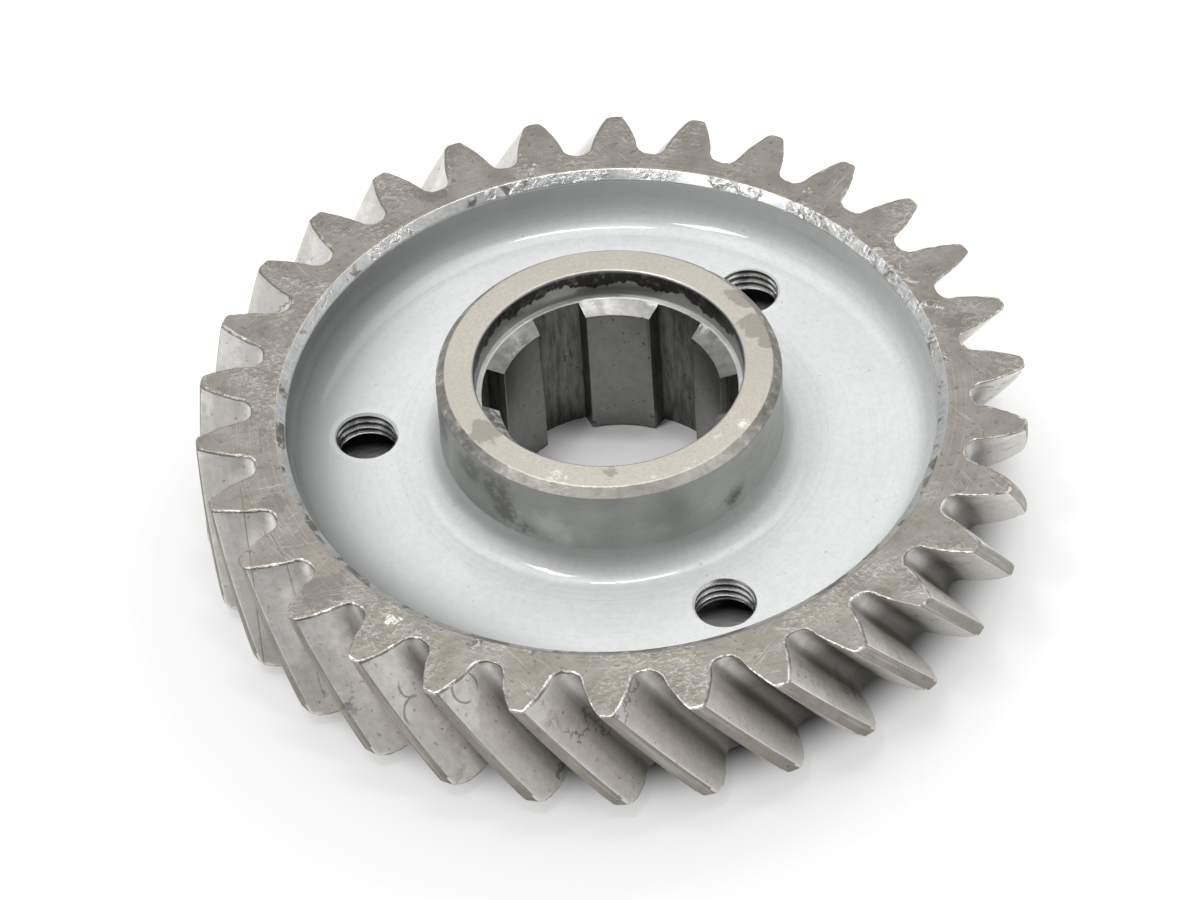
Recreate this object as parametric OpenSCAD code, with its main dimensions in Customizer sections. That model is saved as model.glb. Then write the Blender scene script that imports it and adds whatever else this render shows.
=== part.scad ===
// Helical gear wheel with a splined hub and a thin web drilled and threaded for a puller.
// The axis is Z, and the origin is the centre of the hub's lower end face, on which the wheel rests.

/* [Teeth] */
// Number of teeth
teeth = 30; // [28:1:40]
// Module, measured square to the helix
normal_module = 2.5; // [2.25:0.25:3.5]
// Helix angle at the pitch circle, left-handed
helix_angle = 34.5; // [0:0.5:40]
// Pressure angle, measured square to the helix
pressure_angle = 17.5; // [14.5:0.5:22.5]
// Height of a tooth above the pitch circle, in modules
addendum = 1.3; // [0.8:0.05:1.35]
// Depth of a tooth space below the pitch circle, in modules
dedendum = 1.32; // [1.2:0.01:1.5]
// How much thinner than half a pitch a tooth is, along the pitch circle
tooth_thinning = 0.2; // [0:0.05:0.5]
// Radius of the fillet at the foot of a tooth, in modules
root_rounding = 0.64; // [0.3:0.02:0.7]
// Width of the break along each edge of a tooth's tip
tip_break = 0.4; // [0.1:0.05:0.6]
// Width of the toothed face, along the axis
face_width = 16; // [12:0.5:30]
// Angle of one tooth's centre line where it meets the upper end face
first_tooth = -2.7; // [-6:0.1:6]

/* [Rim and web] */
// Thickness of the rim below the tooth roots
rim_wall = 4; // [2.5:0.1:6]
// Depth of the upper recess, from the rim's end face to the web
recess_depth = 6.5; // [4:0.1:8]
// Thickness of the web
web_wall = 3.5; // [2.5:0.1:6]
// Radius of the fillet between the web and the rim
rim_fillet = 4; // [1:0.1:5]
// Radius of the fillet between the web and the hub
hub_fillet = 3.5; // [1:0.1:4]
// Width of the chamfer around a recess's mouth, along its end face
mouth_chamfer_w = 1.2; // [0.4:0.1:2]
// Depth of the chamfer around a recess's mouth
mouth_chamfer_d = 0.9; // [0.4:0.1:2]

/* [Hub] */
// Diameter of the hub
hub_d = 40.4; // [38:0.2:46]
// Height of the hub above the rim's upper end face
hub_rise = 6; // [2:0.5:12]
// Length of the hub below the rim's lower end face
hub_drop = 1.5; // [0.5:0.5:6]
// Chamfer on the hub's outer edges
hub_chamfer = 1; // [0.3:0.1:2]
// Diameter of the counterbore in the hub's upper end
counterbore_d = 31.5; // [30.5:0.1:34]
// Depth of the counterbore
counterbore_depth = 3.9; // [1.5:0.1:6]
// Break on the counterbore's mouth
counterbore_break = 0.45; // [0.2:0.05:1]

/* [Spline bore] */
// Number of grooves in the bore
spline_grooves = 6; // [4:1:8]
// Minor diameter of the splined bore
spline_minor_d = 26; // [22:0.5:28]
// Major diameter of the splined bore, across the groove floors
spline_major_d = 30; // [28.5:0.5:30]
// Width of each groove
spline_groove_w = 6; // [4:0.5:7]
// Depth of the lead-in that slopes from the counterbore's floor to the minor diameter
lead_in = 0.85; // [0.3:0.05:2]
// Break at the bore's lower mouth
lower_break = 0.3; // [0.1:0.05:1]

/* [Puller holes] */
// Number of threaded holes in the web
hole_count = 3; // [2:1:6]
// Angle of the first hole's centre
first_hole = 60; // [0:5:120]
// Outer diameter of the holes' thread
thread_d = 8; // [6:1:10]
// Pitch of the holes' thread
thread_pitch = 1; // [0.75:0.25:1.25]
// Break at both mouths of each hole
hole_break = 0.35; // [0.1:0.05:0.8]

/* [Hidden] */
$fn = 96;
steel = "#9c948a";
through = 1; // how far a cutter runs past the face that it opens
tooth_seam = 0.75; // how far the ring of teeth and the wheel run into each other
fillet_sunk = 0.25; // how far a web fillet runs into the metal beside it, in its own radius
thread_depth = 1.0825; // how much an internal thread takes off its diameter, in pitches
fillet_steps = 3;
flank_steps = 3;
helix_steps = 4;

pitch_r = teeth * normal_module / cos(helix_angle) / 2;
base_r = pitch_r * cos(atan(tan(pressure_angle) / cos(helix_angle)));
tip_r = pitch_r + addendum * normal_module;
root_r = pitch_r - dedendum * normal_module;
helix_turn = degrees(face_width * tan(helix_angle) / pitch_r);
tooth_pitch = 360 / teeth;
pitch_half_tooth = (tooth_pitch / 2 - degrees(tooth_thinning / pitch_r)) / 2;

rim_z = hub_drop;
rim_top_z = rim_z + face_width;
hub_top_z = rim_top_z + hub_rise;
web_top_z = rim_top_z - recess_depth;
web_z = web_top_z - web_wall;
hub_r = hub_d / 2;
recess_r = root_r - rim_wall;
core_r = root_r - tooth_seam;
counterbore_z = hub_top_z - counterbore_depth;
hole_circle_r = (hub_r + recess_r) / 2; // the holes sit midway across the web
hole_r = (thread_d - thread_depth * thread_pitch) / 2; // the thread's minor radius

function degrees(radians) = radians * 180 / PI;
function polar(r, angle) = [r * cos(angle), r * sin(angle)];

// Angle that an involute of the base circle has turned through at radius r.
function involute_turn(r) =
    let (a = acos(min(1, base_r / r))) degrees(tan(a)) - a;

// Half the angle that a tooth fills at radius r.
function half_tooth(r) = pitch_half_tooth + involute_turn(pitch_r) - involute_turn(r);

// The fillet at a tooth's foot is an arc of radius f that touches the root circle and the flank.
// The flank is the involute where the arc reaches it, and a radial line below the base circle.
function fillet_reach(f) = pow(root_r + f, 2) - f * f;
function on_involute(f) = fillet_reach(f) > base_r * base_r;
function fillet_roll(f) = (sqrt(pow(root_r + f, 2) - base_r * base_r) - f) / base_r;
function fillet_touch_r(f) =
    on_involute(f) ? base_r * sqrt(1 + pow(fillet_roll(f), 2)) : sqrt(fillet_reach(f));
function fillet_angle(f) = half_tooth(base_r) + (
    on_involute(f) ?
        atan(fillet_roll(f) + f / base_r) - degrees(fillet_roll(f)) : asin(f / (root_r + f)));
function fillet_sweep(f) =
    on_involute(f) ? 90 - atan(fillet_roll(f) + f / base_r) : acos(f / (root_r + f));

// Largest fillet, up to high, whose two arcs in one tooth space don't cross, found by halving.
function widest_fillet(low, high, n = 20) =
    n == 0 ? low :
    let (middle = (low + high) / 2)
    fillet_angle(middle) < tooth_pitch / 2 ?
        widest_fillet(middle, high, n - 1) : widest_fillet(low, middle, n - 1);

fillet_r = widest_fillet(0.01, root_rounding * normal_module);

// Half of a tooth's outline, from the root circle up to the tip, on the side of growing angle.
function half_outline() =
    let (
        a = fillet_angle(fillet_r),
        centre = polar(root_r + fillet_r, a),
        low = fillet_touch_r(fillet_r),
        high = tip_r - tip_break)
    concat(
        [for (i = [0 : fillet_steps - 1])
            centre + polar(fillet_r, a + 180 + fillet_sweep(fillet_r) * i / fillet_steps)],
        [for (i = [0 : flank_steps])
            let (r = low + (high - low) * i / flank_steps) polar(r, half_tooth(r))],
        [polar(tip_r, half_tooth(tip_r) - degrees(tip_break / tip_r))]);

function turned(p, angle) =
    [p.x * cos(angle) - p.y * sin(angle), p.x * sin(angle) + p.y * cos(angle)];

function gear_outline() =
    let (half = half_outline(), last = len(half) - 1)
    [for (t = [0 : teeth - 1])
        each concat(
            [for (p = half) turned([p.x, -p.y], t * tooth_pitch)],
            [for (i = [last : -1 : 0]) turned(half[i], t * tooth_pitch)])];

// The ring of helical teeth, with the metal that ties it to the rim.
module tooth_ring() {
    translate([0, 0, rim_z])
        rotate(first_tooth + helix_turn)
            linear_extrude(height = face_width, twist = helix_turn, slices = helix_steps)
                difference() {
                    polygon(gear_outline());
                    circle(core_r - tooth_seam, $fn = 2 * teeth);
                }
}

// Fillet in the section's corner at [r, z]; side and up are 1 or -1 and point into the open space.
module section_fillet(r, z, side, up, size) {
    sunk = fillet_sunk * size;
    translate([r, z])
        scale([side, up])
            difference() {
                translate([-sunk, -sunk]) square(size + sunk);
                translate([size, size]) circle(size);
            }
}

// Chamfer cut from the section's corner at [r, z]; side and up point into the metal.
module section_chamfer(r, z, side, up, w, d) {
    translate([r, z])
        polygon([
            [side * w, 0], [0, up * d], [-side * w, up * d],
            [-side * w, -up * d], [side * w, -up * d]]);
}

// Half-section of the wheel without its teeth and its bores.
module wheel_section() {
    difference() {
        union() {
            translate([recess_r, rim_z]) square([core_r - recess_r, face_width]);
            translate([0, web_z]) square([core_r, web_wall]);
            square([hub_r, hub_top_z]);
            section_fillet(recess_r, web_top_z, -1, 1, rim_fillet);
            section_fillet(recess_r, web_z, -1, -1, rim_fillet);
            section_fillet(hub_r, web_top_z, 1, 1, hub_fillet);
            section_fillet(hub_r, web_z, 1, -1, hub_fillet);
        }
        section_chamfer(recess_r, rim_top_z, 1, -1, mouth_chamfer_w, mouth_chamfer_d);
        section_chamfer(recess_r, rim_z, 1, 1, mouth_chamfer_w, mouth_chamfer_d);
        section_chamfer(hub_r, hub_top_z, -1, -1, hub_chamfer, hub_chamfer);
        section_chamfer(hub_r, 0, -1, 1, hub_chamfer, hub_chamfer);
    }
}

module spline_bore() {
    translate([0, 0, -through])
        linear_extrude(height = hub_top_z + 2 * through)
            intersection() {
                circle(d = spline_major_d);
                union() {
                    circle(d = spline_minor_d);
                    for (i = [0 : spline_grooves - 1])
                        rotate(i * 360 / spline_grooves)
                            translate([0, -spline_groove_w / 2])
                                square([spline_major_d, spline_groove_w]);
                }
            }
}

// A cone that breaks the edge of a round hole of radius r, opening towards +Z at the origin.
module edge_break(r, w) {
    translate([0, 0, -w])
        cylinder(r1 = r, r2 = r + 2 * w, h = 2 * w);
}

module hub_bore() {
    spline_bore();
    translate([0, 0, counterbore_z])
        cylinder(d = counterbore_d, h = counterbore_depth + through);
    translate([0, 0, counterbore_z - lead_in])
        cylinder(d1 = spline_minor_d, d2 = spline_major_d, h = lead_in);
    translate([0, 0, hub_top_z]) edge_break(counterbore_d / 2, counterbore_break);
    mirror([0, 0, 1]) edge_break(spline_minor_d / 2, lower_break);
}

module puller_holes() {
    for (i = [0 : hole_count - 1])
        rotate(first_hole + i * 360 / hole_count)
            translate([hole_circle_r, 0, 0]) {
                translate([0, 0, web_z - through])
                    cylinder(r = hole_r, h = web_wall + 2 * through);
                translate([0, 0, web_top_z]) edge_break(hole_r, hole_break);
                translate([0, 0, web_z]) mirror([0, 0, 1]) edge_break(hole_r, hole_break);
            }
}

// Web, hub and inner rim in one, with every bore and hole.
module wheel() {
    difference() {
        rotate_extrude() wheel_section();
        hub_bore();
        puller_holes();
    }
}

module gear_wheel() {
    color(steel) {
        tooth_ring();
        wheel();
    }
}

gear_wheel();
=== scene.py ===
import math

import bmesh
import bpy
from mathutils import Matrix, Quaternion, Vector, noise


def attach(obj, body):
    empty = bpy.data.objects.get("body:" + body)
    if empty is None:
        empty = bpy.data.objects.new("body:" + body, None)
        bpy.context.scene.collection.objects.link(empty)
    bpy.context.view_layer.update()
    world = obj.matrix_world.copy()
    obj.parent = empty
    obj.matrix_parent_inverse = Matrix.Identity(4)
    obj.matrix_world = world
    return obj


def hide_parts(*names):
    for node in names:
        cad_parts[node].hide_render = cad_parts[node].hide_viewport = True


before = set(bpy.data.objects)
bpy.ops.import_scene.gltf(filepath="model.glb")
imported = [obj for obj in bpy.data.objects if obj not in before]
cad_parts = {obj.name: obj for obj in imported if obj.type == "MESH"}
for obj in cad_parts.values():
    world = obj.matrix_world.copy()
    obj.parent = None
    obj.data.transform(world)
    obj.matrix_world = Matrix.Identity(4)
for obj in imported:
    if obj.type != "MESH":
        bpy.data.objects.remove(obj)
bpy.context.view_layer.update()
print("frame loaded")

mm = 0.001

# The wheel is modelled in millimetres with its axis on Z and brought to metres at the end.
# Angles are in degrees.

wheel = {
    "joint": 40.6,           # circle on the faces where the turned body meets the teeth
    "faceZ": (1.5, 17.5),    # lower and upper face of the rim
    "mouth": (1.2, 0.9),     # chamfer round a recess, along the face and down the wall
    "recessR": 38.2,
    "webZ": (7.5, 11.0),
    "rimFillet": 4.0,
    "hubFillet": 3.5,
    "hubR": 20.2,
    "hubTop": 23.5,
    "hubChamfer": 1.0,
    "counterboreR": 15.75,
    "counterboreZ": 19.6,
    "counterboreBreak": 0.2,
    "splineMajorR": 15.0,
    "splineMinorR": 13.0,
    "splineGroove": 6.0,
    "grooves": 6,
    "leadIn": 0.85,
    "splineEdge": 0.16,
    "lowerBreak": 0.3,
    "edge": 0.14,            # how far the turned edges are rounded
    "turnSteps": 240,
}

teeth = {
    "count": 30,
    "module": 2.5,
    "helix": 34.5,           # left-handed
    "pressure": 17.5,
    "addendum": 1.3,
    "dedendum": 1.32,
    "thinning": 0.2,
    "rootFillet": 1.6,
    "tipBreak": 0.38,
    "tipShort": 0.05,        # keeps the smooth tips inside the solid's box
    "first": -2.7,           # centre of one tooth on the upper face
    "flankSteps": 9,
    "filletSteps": 6,
    "helixSteps": 20,
    "endEdge": 0.28,         # how far the edges of the teeth's ends are rounded
    "worn": (1.5, 0.5, 1.0),  # the lower tips' worn zone, how steeply it falls in, and its height
    "wornCuts": (0.36, 0.58),  # heights at which the teeth are cut to bend there
    "wave": (0.08, 2.2),     # how far and how finely the worn edges waver
    "waveSeed": 7,           # keeps their wavering the same each run
}

puller = {
    "first": 60,
    "count": 3,
    "circleR": 29.2,
    "minorR": 3.459,
    "majorR": 3.8,
    "pitch": 1.0,
    "crest": 0.14,           # flat on top of the thread, in pitches
    "mouthR": 3.78,
    "ringSteps": 56,
}

slots = ["endFace", "land", "flank", "edge", "mouth", "recess", "hubWall", "hubFace",
         "counterbore", "spline", "leadIn", "thread"]
slotOf = {name: i for i, name in enumerate(slots)}


def polar(radius, angle, z=0.0):
    a = math.radians(angle)
    return Vector((radius * math.cos(a), radius * math.sin(a), z))


def path(bm, points, closed=False):
    verts = [bm.verts.new(p) for p in points]
    edges = [bm.edges.new(pair) for pair in zip(verts, verts[1:])]
    if closed:
        edges.append(bm.edges.new((verts[-1], verts[0])))
    return verts, edges


def only(kind, geom):
    return [g for g in geom if isinstance(g, kind)]


def everything(bm):
    return bm.verts[:] + bm.edges[:] + bm.faces[:]


def turn(bm, geom, angle, steps, copies=False):
    bmesh.ops.spin(bm, geom=geom, cent=(0, 0, 0), axis=(0, 0, 1), dvec=(0, 0, 0),
                   angle=math.radians(angle), steps=steps, use_duplicate=copies,
                   use_merge=angle == 360, use_normal_flip=False)


def rotateZ(bm, angle):
    bmesh.ops.rotate(bm, verts=bm.verts, cent=(0, 0, 0),
                     matrix=Matrix.Rotation(math.radians(angle), 3, "Z"))


def objectFrom(bm, name):
    bmesh.ops.recalc_face_normals(bm, faces=bm.faces)
    mesh = bpy.data.meshes.new(name)
    bm.to_mesh(mesh)
    bm.free()
    made = bpy.data.objects.new(name, mesh)
    bpy.context.scene.collection.objects.link(made)
    return made


# Turned body: rim, recesses, web, hub and the plain bore

def turnedBody():
    w = wheel
    low, high = w["faceZ"]
    webLow, webHigh = w["webZ"]
    mouthW, mouthD = w["mouth"]
    e = w["edge"]
    chamferR = w["hubR"] - w["hubChamfer"]
    corners = [  # radius, height, how far the rounding reaches, segments
        (w["joint"], high, 0, 0),
        (w["recessR"] + mouthW, high, e, 2),
        (w["recessR"], high - mouthD, e, 2),
        (w["recessR"], webHigh, w["rimFillet"], 12),
        (w["hubR"], webHigh, w["hubFillet"], 12),
        (w["hubR"], w["hubTop"] - w["hubChamfer"], e, 2),
        (chamferR, w["hubTop"], e, 2),
        (w["counterboreR"] + w["counterboreBreak"], w["hubTop"], e, 2),
        (w["counterboreR"], w["hubTop"] - w["counterboreBreak"], e, 2),
        (w["counterboreR"], w["counterboreZ"], 0.25, 3),
        (w["splineMajorR"] + 0.06, w["counterboreZ"], 0, 0),
        (w["splineMinorR"], w["counterboreZ"] - w["leadIn"], e, 2),
        (w["splineMinorR"], w["lowerBreak"], 0, 0),
        (w["splineMinorR"] + w["lowerBreak"], 0, 0, 0),
        (chamferR, 0, e, 2),
        (w["hubR"], w["hubChamfer"], e, 2),
        (w["hubR"], webLow, w["hubFillet"], 8),
        (w["recessR"], webLow, w["rimFillet"], 8),
        (w["recessR"], low + mouthD, e, 2),
        (w["recessR"] + mouthW, low, e, 2),
        (w["joint"], low, 0, 0),
    ]
    bm = bmesh.new()
    verts, _ = path(bm, [(r, 0, z) for r, z, _, _ in corners], closed=True)
    for vert, (_, _, reach, segments) in zip(verts, corners):
        if reach:
            bmesh.ops.bevel(bm, geom=[vert], offset=reach, offset_type="OFFSET", affect="VERTICES",
                            segments=segments, profile=0.5, material=-1, clamp_overlap=False)
    rotateZ(bm, teeth["first"] - 180 / teeth["count"])
    turn(bm, bm.verts[:] + bm.edges[:], 360, w["turnSteps"])
    bmesh.ops.remove_doubles(bm, verts=bm.verts, dist=1e-4)
    for face in bm.faces:
        centre = face.calc_center_median()
        face.material_index = slotOf[turnedSlot(centre.xy.length, centre.z)]
    return objectFrom(bm, "turnedBody")


def turnedSlot(r, z):
    w = wheel
    mouthR = w["recessR"] + w["mouth"][0]
    if r > mouthR + 0.02:
        return "endFace"
    if r > w["recessR"] + 0.01 and not 3 < z < 16:
        return "mouth"
    if r > w["hubR"] + 0.02:
        return "recess"
    if r > w["hubR"] - w["hubChamfer"] + 0.03:
        return "hubWall"
    if r > w["counterboreR"] and (z > w["hubTop"] - 0.02 or z < 0.02):
        return "hubFace"
    if z > w["counterboreZ"] - 0.01:
        return "counterbore"
    if z > w["counterboreZ"] - w["leadIn"] + 0.02:
        return "leadIn"
    return "spline"


def splineCutter():
    w = wheel
    half = w["splineGroove"] / 2
    reach = math.degrees(math.asin(half / w["splineMajorR"]))
    floor = [polar(w["splineMajorR"], reach * i / 6) for i in range(-6, 7)]
    bm = bmesh.new()
    _, edges = path(bm, [(10, -half, 0), *floor, (10, half, 0)], closed=True)
    bottom = bmesh.ops.edgeloop_fill(bm, edges=edges)["faces"]
    top = bmesh.ops.extrude_face_region(bm, geom=bottom)["geom"]
    bmesh.ops.translate(bm, verts=only(bmesh.types.BMVert, top), vec=(0, 0, w["counterboreZ"] + 2))
    bmesh.ops.translate(bm, verts=bm.verts, vec=(0, 0, -1))
    n = w["grooves"]
    turn(bm, everything(bm), 360 - 360 / n, n - 1, copies=True)
    for face in bm.faces:
        face.material_index = slotOf["spline"]
    return objectFrom(bm, "splineCutter")


def copyToHoles(bm, slotName):
    p = puller
    bmesh.ops.translate(bm, verts=bm.verts, vec=(p["circleR"], 0, 0))
    rotateZ(bm, p["first"])
    turn(bm, everything(bm), 360 - 360 / p["count"], p["count"] - 1, copies=True)
    for face in bm.faces:
        face.material_index = slotOf[slotName]


def threadCutter():
    p = puller
    low, high = wheel["webZ"]
    pitch = p["pitch"]
    crest = pitch * p["crest"]
    root = crest / 2
    slope = (pitch - crest - root) / 2
    turns = math.ceil((high - low) / pitch) + 3
    profile = [(p["minorR"], 0), (p["minorR"], crest), (p["majorR"], crest + slope),
               (p["majorR"], crest + slope + root), (p["minorR"], pitch)]
    bm = bmesh.new()
    path(bm, [(r, 0, low - 1.5 * pitch + z) for r, z in profile])
    bmesh.ops.spin(bm, geom=bm.verts[:] + bm.edges[:], cent=(0, 0, 0), axis=(0, 0, 1),
                   dvec=(0, 0, pitch / p["ringSteps"]), angle=math.tau * turns,
                   steps=turns * p["ringSteps"], use_duplicate=False, use_merge=False,
                   use_normal_flip=False)
    bmesh.ops.remove_doubles(bm, verts=bm.verts, dist=1e-4)
    for z, side in ((low - 0.3, -1), (high + 0.3, 1)):
        cut = bmesh.ops.bisect_plane(bm, geom=everything(bm), dist=1e-5, plane_co=(0, 0, z),
                                     plane_no=(0, 0, side), clear_outer=True, clear_inner=False)
        rim = only(bmesh.types.BMEdge, cut["geom_cut"])
        bmesh.ops.edgeloop_fill(bm, edges=rim)
    copyToHoles(bm, "thread")
    return objectFrom(bm, "threadCutter")


def mouthCutter():
    p = puller
    low, high = wheel["webZ"]
    depth = 1.2
    bm = bmesh.new()
    for z, up in ((high, 1), (low, -1)):
        cone = bmesh.ops.create_cone(bm, cap_ends=True, segments=p["ringSteps"],
                                     radius1=p["mouthR"] - depth / 2,
                                     radius2=p["mouthR"] + depth / 2, depth=depth)["verts"]
        bmesh.ops.scale(bm, verts=cone, vec=(1, 1, up))
        bmesh.ops.translate(bm, verts=cone, vec=(0, 0, z))
    copyToHoles(bm, "recess")
    return objectFrom(bm, "mouthCutter")


def boredBody(body, cutters):
    for cutter in cutters:
        cut = body.modifiers.new(cutter.name, "BOOLEAN")
        cut.operation = "DIFFERENCE"
        cut.solver = "EXACT"
        cut.object = cutter
    graph = bpy.context.evaluated_depsgraph_get()
    mesh = bpy.data.meshes.new_from_object(body.evaluated_get(graph))
    for used in [body, *cutters]:
        bpy.data.objects.remove(used)
    return mesh


bodyMesh = boredBody(turnedBody(), [splineCutter(), threadCutter(), mouthCutter()])
print("turned body bored,", len(bodyMesh.polygons), "faces")


# Ring of helical teeth

pitchR = teeth["count"] * teeth["module"] / math.cos(math.radians(teeth["helix"])) / 2
tipR = pitchR + teeth["addendum"] * teeth["module"] - teeth["tipShort"]
rootR = pitchR - teeth["dedendum"] * teeth["module"]
slant = math.tan(math.radians(teeth["helix"]))
baseR = pitchR * math.cos(math.atan(math.tan(math.radians(teeth["pressure"]))
                                    / math.cos(math.radians(teeth["helix"]))))
faceWidth = wheel["faceZ"][1] - wheel["faceZ"][0]
helixTurn = math.degrees(faceWidth * slant / pitchR)
toothPitch = 360 / teeth["count"]
pitchHalfTooth = (toothPitch / 2 - math.degrees(teeth["thinning"] / pitchR)) / 2


def involuteTurn(r):
    a = math.acos(min(1, baseR / r))
    return math.degrees(math.tan(a) - a)


def halfTooth(r):
    return pitchHalfTooth + involuteTurn(pitchR) - involuteTurn(r)


def halfOutline():
    f = teeth["rootFillet"]
    roll = (math.sqrt((rootR + f) ** 2 - baseR ** 2) - f) / baseR
    lean = math.degrees(math.atan(roll + f / baseR))
    middle = halfTooth(baseR) + lean - math.degrees(roll)
    centre = polar(rootR + f, middle)
    touchR = baseR * math.sqrt(1 + roll ** 2)
    highR = tipR - teeth["tipBreak"]
    n = teeth["filletSteps"]
    points = [centre + polar(f, middle + 180 + (90 - lean) * i / n) for i in range(n)]
    n = teeth["flankSteps"]
    for i in range(n + 1):
        r = touchR + (highR - touchR) * i / n
        points.append(polar(r, halfTooth(r)))
    corner = polar(tipR, halfTooth(tipR))
    land = polar(tipR, halfTooth(tipR) - math.degrees(teeth["tipBreak"] / tipR))
    flank = points[-1]
    for t in (1 / 3, 2 / 3, 1):  # the tip's rounded edge
        points.append(flank.lerp(corner, t).lerp(corner.lerp(land, t), t))
    return points


def toothRing():
    half = halfOutline()
    other = [Vector((p.x, -p.y, 0)) for p in half]
    outline = [polar(rootR, -toothPitch / 2), *other, Vector((tipR, 0, 0)),
               *reversed(half), polar(rootR, toothPitch / 2)]
    low, high = wheel["faceZ"]
    arcSteps = wheel["turnSteps"] // teeth["count"]
    arcStep = toothPitch / arcSteps
    bm = bmesh.new()
    ends = path(bm, [p + Vector((0, 0, high)) for p in outline])
    sweep = bmesh.ops.spin(bm, geom=ends[0] + ends[1], cent=(0, 0, 0), axis=(0, 0, 1),
                           dvec=(0, 0, -faceWidth / teeth["helixSteps"]),
                           angle=math.radians(helixTurn), steps=teeth["helixSteps"],
                           use_duplicate=False, use_merge=False, use_normal_flip=False)
    lastEdges = only(bmesh.types.BMEdge, sweep["geom_last"])
    zone, slope, tall = teeth["worn"]
    for z in teeth["wornCuts"]:
        bmesh.ops.bisect_plane(bm, geom=everything(bm), dist=1e-5, plane_co=(0, 0, low + z),
                               plane_no=(0, 0, 1), clear_outer=False, clear_inner=False)
    for vert in bm.verts:
        r = vert.co.xy.length
        fall = slope * max(0, 1 - (vert.co.z - low) / tall) ** 2
        vert.co.xy *= 1 - fall * max(0, r - tipR + zone) / r
    for face in bm.faces:
        middle = face.calc_center_median().xy.length
        face.material_index = slotOf["land" if middle > tipR - 0.12 else "flank"]
    # Each end face runs in to the circle where the turned body takes over.
    for edges, z, offset in ((ends[1], high, 0),
                             (lastEdges, low, round(helixTurn / arcStep) * arcStep)):
        tips = [v for e in edges for v in e.verts if sum(x in edges for x in v.link_edges) == 1]
        tips.sort(key=lambda v: math.atan2(v.co.y, v.co.x))
        arc, arcEdges = path(bm, [polar(wheel["joint"], offset - toothPitch / 2 + arcStep * i, z)
                                  for i in range(arcSteps + 1)])
        sides = [bm.edges.new((tips[0], arc[0])), bm.edges.new((tips[1], arc[-1]))]
        made = bmesh.ops.edgeloop_fill(bm, edges=[*edges, *arcEdges, *sides])["faces"]
        made[0].material_index = slotOf["endFace"]
    n = teeth["count"]
    turn(bm, everything(bm), 360 - 360 / n, n - 1, copies=True)
    rotateZ(bm, teeth["first"])
    return bm


def weldBody(bm, mesh):
    bm.from_mesh(mesh)
    jointR = wheel["joint"]
    seam = [f for f in bm.faces if abs(f.normal.z) < 0.1
            and all(abs(v.co.xy.length - jointR) < 1e-3 for v in f.verts)]
    bmesh.ops.delete(bm, geom=seam, context="FACES")
    bmesh.ops.remove_doubles(bm, verts=bm.verts, dist=1e-3)
    bmesh.ops.recalc_face_normals(bm, faces=bm.faces)


def breakToothEnds(bm):
    low, high = wheel["faceZ"]
    edges = []
    for edge in bm.edges:
        onEnd = all(min(abs(v.co.z - low), abs(v.co.z - high)) < 1e-4 for v in edge.verts)
        if onEnd and edge.verts[0].co.xy.length > rootR - 0.5 and edge.calc_face_angle(0) > 0.5:
            edges.append(edge)
    made = bmesh.ops.bevel(bm, geom=edges, offset=teeth["endEdge"], offset_type="OFFSET",
                           affect="EDGES", segments=2, profile=0.5, material=-1,
                           clamp_overlap=False)
    for face in made["faces"]:
        face.material_index = slotOf["edge"]
    reach, fineness = teeth["wave"]
    noise.seed_set(teeth["waveSeed"])
    for vert in made["verts"]:
        vert.co += noise.noise_vector(vert.co * fineness) * reach


def breakSplineEdges(bm):
    edges = []
    for edge in bm.edges:
        a, b = (v.co for v in edge.verts)
        inBore = max(a.xy.length, b.xy.length) < wheel["splineMinorR"] + 0.1
        if inBore and abs(a.z - b.z) > 5 and edge.calc_face_angle(0) > 0.6:
            edges.append(edge)
    bmesh.ops.bevel(bm, geom=edges, offset=wheel["splineEdge"], offset_type="OFFSET",
                    affect="EDGES", segments=2, profile=0.5, material=-1, clamp_overlap=False)


ring = toothRing()
weldBody(ring, bodyMesh)
breakToothEnds(ring)
breakSplineEdges(ring)
bmesh.ops.scale(ring, verts=ring.verts, vec=(mm, mm, mm))
openEdges = sum(not e.is_manifold for e in ring.edges)
triangles = sum(len(f.verts) - 2 for f in ring.faces)
gearWheel = objectFrom(ring, "gearWheel")
gearWheel.data.shade_smooth()
gearWheel.data.set_sharp_from_angle(angle=math.radians(28))
weighted = gearWheel.modifiers.new("weighted", "WEIGHTED_NORMAL")
weighted.keep_sharp = True
weighted.weight = 100
print("teeth and body joined,", triangles, "triangles,", openEdges, "open edges")


# Materials

def add(tree, kind, sockets=None, **settings):
    made = tree.nodes.new("ShaderNode" + kind)
    for key, value in settings.items():
        setattr(made, key, value)
    for key, value in (sockets or {}).items():
        if isinstance(value, bpy.types.NodeSocket):
            tree.links.new(value, made.inputs[key])
        else:
            made.inputs[key].default_value = value
    return made


def start(name, metallic, roughness):
    material = bpy.data.materials.new(name)
    material.use_nodes = True
    shader = material.node_tree.nodes["Principled BSDF"]
    shader.inputs["Metallic"].default_value = metallic
    shader.inputs["Roughness"].default_value = roughness
    return material, material.node_tree, shader


def noiseOf(tree, at, scale, detail=4.0, roughness=0.55, distortion=0.0):
    return add(tree, "TexNoise", {"Vector": at, "Scale": scale, "Detail": detail,
                                  "Roughness": roughness, "Distortion": distortion}).outputs[0]


def ramp(tree, value, stops):
    made = add(tree, "ValToRGB", {"Fac": value})
    line = made.color_ramp.elements
    while len(line) < len(stops):
        line.new(0.5)
    for element, (position, colour) in zip(line, stops):
        element.position = position
        element.color = (*colour, 1)
    return made.outputs[0]


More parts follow.
